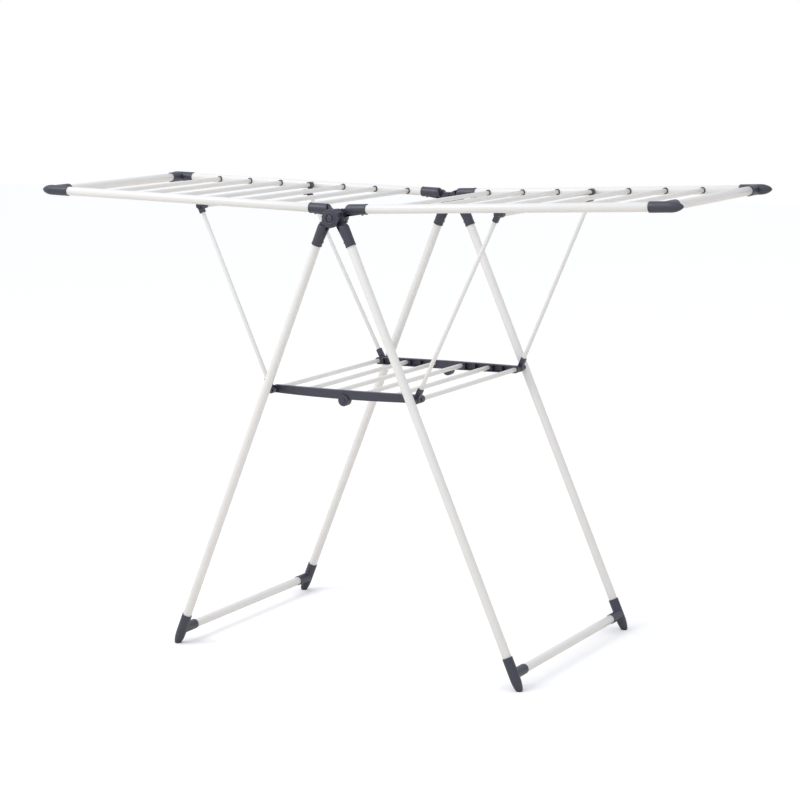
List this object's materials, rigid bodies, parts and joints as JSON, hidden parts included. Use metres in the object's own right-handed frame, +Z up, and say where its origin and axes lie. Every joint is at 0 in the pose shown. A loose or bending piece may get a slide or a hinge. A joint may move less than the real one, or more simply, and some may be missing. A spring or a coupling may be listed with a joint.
{
  "type": "clothes drying rack",
  "caption": "Folding winged clothes drying rack with hinged leg frames, strutted fold-down rod wings and a centre-folding rod shelf.",
  "frame": {"origin": "centre of the footprint on the floor", "axes": "+X along the length through both wings, +Y from the front pair of legs to the back pair, +Z up"},
  "size_m": [1.5342, 0.5716, 1.0098],
  "materials": {
    "white_coat": "white powder coat on steel tube, satin gloss",
    "grey_plastic": "moulded slate-grey polypropylene, fine satin",
    "screw_steel": "dark zinc-plated steel"
  },
  "bodies": {
    "frame_left": {"leg_tube_front_left": "white_coat", "leg_tube_back_left": "white_coat", "bottom_bar_left": "white_coat", "foot_front_left": "grey_plastic", "foot_back_left": "grey_plastic", "leg_socket_front_left": "grey_plastic", "leg_socket_back_left": "grey_plastic", "leg_pins_left": "grey_plastic", "leg_screws_left": "screw_steel", "pivot_bolt_front": "grey_plastic", "pivot_bolt_back": "grey_plastic", "pivot_nuts": "grey_plastic"},
    "wing_left": {"wing_rail_front_left": "white_coat", "wing_rail_back_left": "white_coat", "wing_end_tube_left": "white_coat", "wing_corner_front_left": "grey_plastic", "wing_corner_back_left": "grey_plastic", "wing_socket_front_left": "grey_plastic", "wing_socket_back_left": "grey_plastic", "wing_rods_left": "white_coat", "rod_bushes_left": "grey_plastic", "wing_screws_left": "screw_steel", "rod_hangers_left": "grey_plastic"},
    "prop_left": {"strut_tubes_left": "white_coat", "strut_sleeve_front_left": "grey_plastic", "strut_sleeve_back_left": "grey_plastic", "strut_hooks_left": "grey_plastic", "prop_rod_left": "white_coat"},
    "shelf_left": {"shelf_bar_front_left": "grey_plastic", "shelf_bar_back_left": "grey_plastic", "shelf_rods_left": "white_coat", "shelf_hinge_pins": "grey_plastic"},
    "frame_right": {"leg_tube_front_right": "white_coat", "leg_tube_back_right": "white_coat", "bottom_bar_right": "white_coat", "foot_front_right": "grey_plastic", "foot_back_right": "grey_plastic", "leg_socket_front_right": "grey_plastic", "leg_socket_back_right": "grey_plastic", "leg_pins_right": "grey_plastic", "leg_screws_right": "screw_steel"},
    "wing_right": {"wing_rail_front_right": "white_coat", "wing_rail_back_right": "white_coat", "wing_end_tube_right": "white_coat", "wing_corner_front_right": "grey_plastic", "wing_corner_back_right": "grey_plastic", "wing_socket_front_right": "grey_plastic", "wing_socket_back_right": "grey_plastic", "wing_rods_right": "white_coat", "rod_bushes_right": "grey_plastic", "wing_screws_right": "screw_steel", "rod_hangers_right": "grey_plastic"},
    "prop_right": {"strut_tubes_right": "white_coat", "strut_sleeve_front_right": "grey_plastic", "strut_sleeve_back_right": "grey_plastic", "strut_hooks_right": "grey_plastic", "prop_rod_right": "white_coat"},
    "shelf_right": {"shelf_bar_front_right": "grey_plastic", "shelf_bar_back_right": "grey_plastic", "shelf_rods_right": "white_coat"}
  },
  "joints": [
    {"name": "leg_fold", "type": "hinge", "parent": "frame_left", "child": "frame_right", "pos_m": [0, 0, 0.958], "axis": [0, 1, 0], "range_deg": [0, 46]},
    {"name": "wing_fold_left", "type": "hinge", "parent": "frame_left", "child": "wing_left", "pos_m": [0, 0, 0.958], "axis": [0, -1, 0], "range_deg": [0, 64]},
    {"name": "prop_turn_left", "type": "hinge", "parent": "wing_left", "child": "prop_left", "pos_m": [-0.35937, 0, 0.97092], "axis": [0, 1, 0], "range_deg": [0, 113.22]},
    {"name": "wing_fold_right", "type": "hinge", "parent": "frame_right", "child": "wing_right", "pos_m": [0, 0, 0.958], "axis": [0, 1, 0], "range_deg": [0, 64]},
    {"name": "prop_turn_right", "type": "hinge", "parent": "wing_right", "child": "prop_right", "pos_m": [0.35937, 0, 0.97092], "axis": [0, -1, 0], "range_deg": [0, 113.22]},
    {"name": "shelf_lift_left", "type": "hinge", "parent": "frame_left", "child": "shelf_left", "pos_m": [-0.17626, 0, 0.5837], "axis": [0, -1, 0], "range_deg": [0, 65.87]},
    {"name": "shelf_fold", "type": "hinge", "parent": "shelf_left", "child": "shelf_right", "pos_m": [0, 0, 0.5712], "axis": [0, 1, 0], "range_deg": [0, 177.73]}
  ],
  "couplings": [
    {"joint": "prop_turn_left", "follows": "wing_fold_left", "ratio": 1.7689},
    {"joint": "prop_turn_right", "follows": "wing_fold_right", "ratio": 1.7689},
    {"joint": "shelf_lift_left", "follows": "leg_fold", "ratio": 1.4318},
    {"joint": "shelf_fold", "follows": "leg_fold", "ratio": 3.8635}
  ]
}
